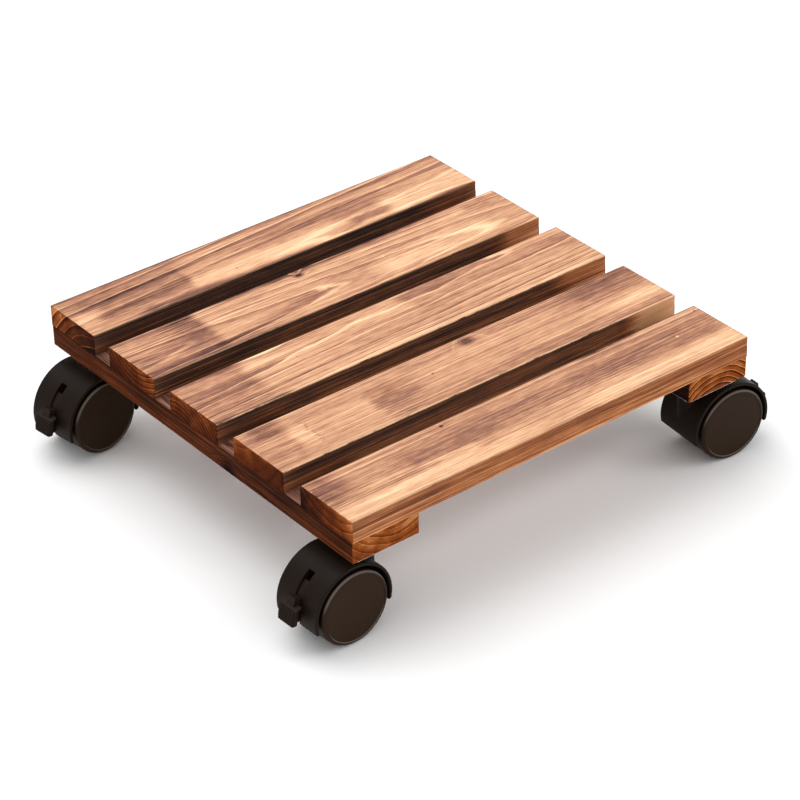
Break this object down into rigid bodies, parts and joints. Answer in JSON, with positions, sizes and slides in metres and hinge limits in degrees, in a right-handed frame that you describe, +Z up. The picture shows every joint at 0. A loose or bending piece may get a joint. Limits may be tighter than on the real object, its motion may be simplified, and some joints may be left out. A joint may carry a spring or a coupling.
{
  "type": "plant pot caddy",
  "caption": "Square slatted wooden plant stand on hooded twin-wheel swivel casters, each with a thumb brake lever.",
  "frame": {"origin": "on the floor under the middle of the deck", "axes": "+X along the slats, +Y across the slats towards the back, +Z up"},
  "size_m": [0.3652, 0.3, 0.0862],
  "materials": {
    "slat_wood": "torched pine, brushed, with a thin satin oil",
    "batten_wood": "torched pine, darker",
    "hood_nylon": "matte moulded nylon",
    "wheel_nylon": "matte moulded nylon",
    "lever_nylon": "matte moulded nylon",
    "plate_steel": "zinc plated pressed steel",
    "pin_steel": "turned steel",
    "spring_steel": "oiled spring steel",
    "screw_steel": "yellow passivated zinc"
  },
  "bodies": {
    "deck": {"slat_1": "slat_wood", "slat_2": "slat_wood", "slat_3": "slat_wood", "slat_4": "slat_wood", "slat_5": "slat_wood", "left_batten": "batten_wood", "left_batten_screws": "screw_steel", "right_batten": "batten_wood", "right_batten_screws": "screw_steel", "front_left_mounting_plate": "plate_steel", "front_left_plate_screws": "screw_steel", "front_left_stem": "pin_steel", "back_left_mounting_plate": "plate_steel", "back_left_plate_screws": "screw_steel", "back_left_stem": "pin_steel", "front_right_mounting_plate": "plate_steel", "front_right_plate_screws": "screw_steel", "front_right_stem": "pin_steel", "back_right_mounting_plate": "plate_steel", "back_right_plate_screws": "screw_steel", "back_right_stem": "pin_steel"},
    "front_left_swivel": {"front_left_thrust_washer": "pin_steel", "front_left_retaining_ring": "spring_steel", "front_left_hood": "hood_nylon", "front_left_axle": "pin_steel"},
    "front_left_outer_wheel": {"front_left_outer_wheel": "wheel_nylon"},
    "front_left_inner_wheel": {"front_left_inner_wheel": "wheel_nylon"},
    "front_left_brake": {"front_left_brake_lever": "lever_nylon"},
    "back_left_swivel": {"back_left_thrust_washer": "pin_steel", "back_left_retaining_ring": "spring_steel", "back_left_hood": "hood_nylon", "back_left_axle": "pin_steel"},
    "back_left_outer_wheel": {"back_left_outer_wheel": "wheel_nylon"},
    "back_left_inner_wheel": {"back_left_inner_wheel": "wheel_nylon"},
    "back_left_brake": {"back_left_brake_lever": "lever_nylon"},
    "front_right_swivel": {"front_right_thrust_washer": "pin_steel", "front_right_retaining_ring": "spring_steel", "front_right_hood": "hood_nylon", "front_right_axle": "pin_steel"},
    "front_right_outer_wheel": {"front_right_outer_wheel": "wheel_nylon"},
    "front_right_inner_wheel": {"front_right_inner_wheel": "wheel_nylon"},
    "front_right_brake": {"front_right_brake_lever": "lever_nylon"},
    "back_right_swivel": {"back_right_thrust_washer": "pin_steel", "back_right_retaining_ring": "spring_steel", "back_right_hood": "hood_nylon", "back_right_axle": "pin_steel"},
    "back_right_outer_wheel": {"back_right_outer_wheel": "wheel_nylon"},
    "back_right_inner_wheel": {"back_right_inner_wheel": "wheel_nylon"},
    "back_right_brake": {"back_right_brake_lever": "lever_nylon"}
  },
  "joints": [
    {"name": "front_left_swivel_turn", "type": "hinge", "parent": "deck", "child": "front_left_swivel", "pos_m": [-0.1265, -0.1265, 0.05625], "axis": [0, 0, 1], "continuous": true},
    {"name": "front_left_outer_wheel_roll", "type": "hinge", "parent": "front_left_swivel", "child": "front_left_outer_wheel", "pos_m": [-0.14649, -0.1272, 0.02375], "axis": [0.0349, -0.9994, 0], "continuous": true},
    {"name": "front_left_inner_wheel_roll", "type": "hinge", "parent": "front_left_swivel", "child": "front_left_inner_wheel", "pos_m": [-0.14649, -0.1272, 0.02375], "axis": [0.0349, -0.9994, 0], "continuous": true},
    {"name": "front_left_brake_press", "type": "hinge", "parent": "front_left_swivel", "child": "front_left_brake", "pos_m": [-0.14649, -0.1272, 0.02375], "axis": [-0.0349, 0.9994, 0], "range_deg": [-5, 12]},
    {"name": "back_left_swivel_turn", "type": "hinge", "parent": "deck", "child": "back_left_swivel", "pos_m": [-0.1265, 0.1265, 0.05625], "axis": [0, 0, 1], "continuous": true},
    {"name": "back_left_outer_wheel_roll", "type": "hinge", "parent": "back_left_swivel", "child": "back_left_outer_wheel", "pos_m": [-0.14635, 0.12406, 0.02375], "axis": [0.1219, -0.9925, 0], "continuous": true},
    {"name": "back_left_inner_wheel_roll", "type": "hinge", "parent": "back_left_swivel", "child": "back_left_inner_wheel", "pos_m": [-0.14635, 0.12406, 0.02375], "axis": [0.1219, -0.9925, 0], "continuous": true},
    {"name": "back_left_brake_press", "type": "hinge", "parent": "back_left_swivel", "child": "back_left_brake", "pos_m": [-0.14635, 0.12406, 0.02375], "axis": [-0.1219, 0.9925, 0], "range_deg": [-5, 12]},
    {"name": "front_right_swivel_turn", "type": "hinge", "parent": "deck", "child": "front_right_swivel", "pos_m": [0.1265, -0.1265, 0.05625], "axis": [0, 0, 1], "continuous": true},
    {"name": "front_right_outer_wheel_roll", "type": "hinge", "parent": "front_right_swivel", "child": "front_right_outer_wheel", "pos_m": [0.14641, -0.12842, 0.02375], "axis": [0.0958, 0.9954, 0], "continuous": true},
    {"name": "front_right_inner_wheel_roll", "type": "hinge", "parent": "front_right_swivel", "child": "front_right_inner_wheel", "pos_m": [0.14641, -0.12842, 0.02375], "axis": [0.0958, 0.9954, 0], "continuous": true},
    {"name": "front_right_brake_press", "type": "hinge", "parent": "front_right_swivel", "child": "front_right_brake", "pos_m": [0.14641, -0.12842, 0.02375], "axis": [-0.0958, -0.9954, 0], "range_deg": [0, 17]},
    {"name": "back_right_swivel_turn", "type": "hinge", "parent": "deck", "child": "back_right_swivel", "pos_m": [0.1265, 0.1265, 0.05625], "axis": [0, 0, 1], "continuous": true},
    {"name": "back_right_outer_wheel_roll", "type": "hinge", "parent": "back_right_swivel", "child": "back_right_outer_wheel", "pos_m": [0.14649, 0.1272, 0.02375], "axis": [-0.0349, 0.9994, 0], "continuous": true},
    {"name": "back_right_inner_wheel_roll", "type": "hinge", "parent": "back_right_swivel", "child": "back_right_inner_wheel", "pos_m": [0.14649, 0.1272, 0.02375], "axis": [-0.0349, 0.9994, 0], "continuous": true},
    {"name": "back_right_brake_press", "type": "hinge", "parent": "back_right_swivel", "child": "back_right_brake", "pos_m": [0.14649, 0.1272, 0.02375], "axis": [0.0349, -0.9994, 0], "range_deg": [-5, 12]}
  ]
}
